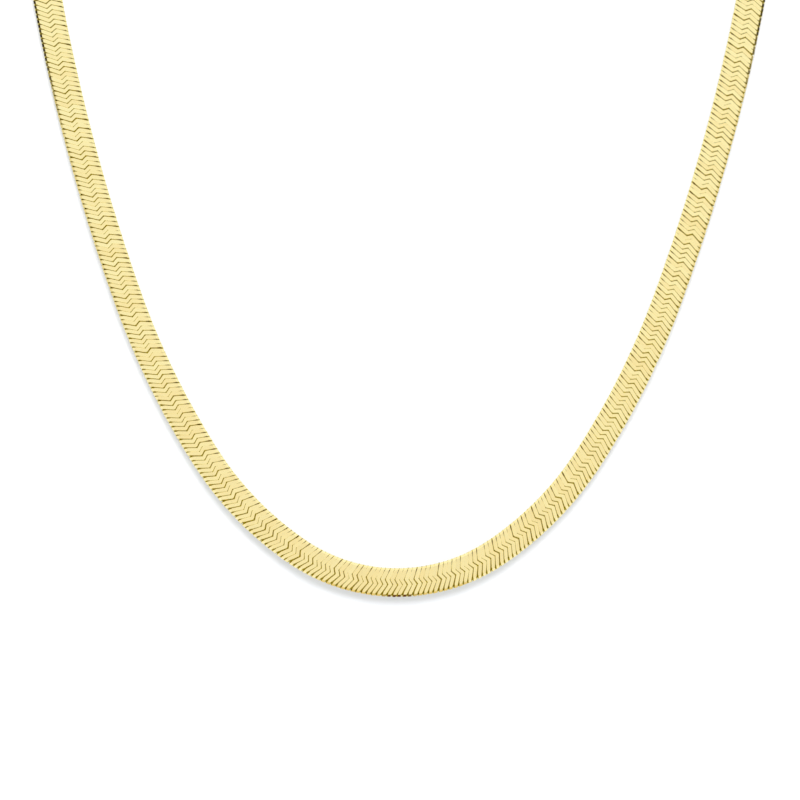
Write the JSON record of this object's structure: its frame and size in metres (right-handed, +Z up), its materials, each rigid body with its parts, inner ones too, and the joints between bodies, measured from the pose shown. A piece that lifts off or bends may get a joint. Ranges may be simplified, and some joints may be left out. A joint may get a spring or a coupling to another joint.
{
  "type": "flat snake chain necklace",
  "caption": "Flat snake chain necklace of nested Z-shaped gold links, hanging as an open loop, with end caps, jump rings and a lobster clasp at the back.",
  "frame": {"origin": "inside the top of the loop, at the middle of the back, where a neck or a peg carries it", "axes": "+X to the viewer's right, -Y out of the front face, +Z up; the loop lies in the XZ plane"},
  "size_m": [0.1232, 0.004, 0.1722],
  "materials": {
    "polished_links": "polished pale yellow gold plate",
    "polished_findings": "polished yellow gold plate"
  },
  "bodies": {
    "root": {"chain": "polished_links", "end_cap_left": "polished_findings", "end_cap_right": "polished_findings", "jump_ring_left": "polished_findings", "jump_ring_right": "polished_findings", "clasp": "polished_findings"}
  },
  "joints": []
}
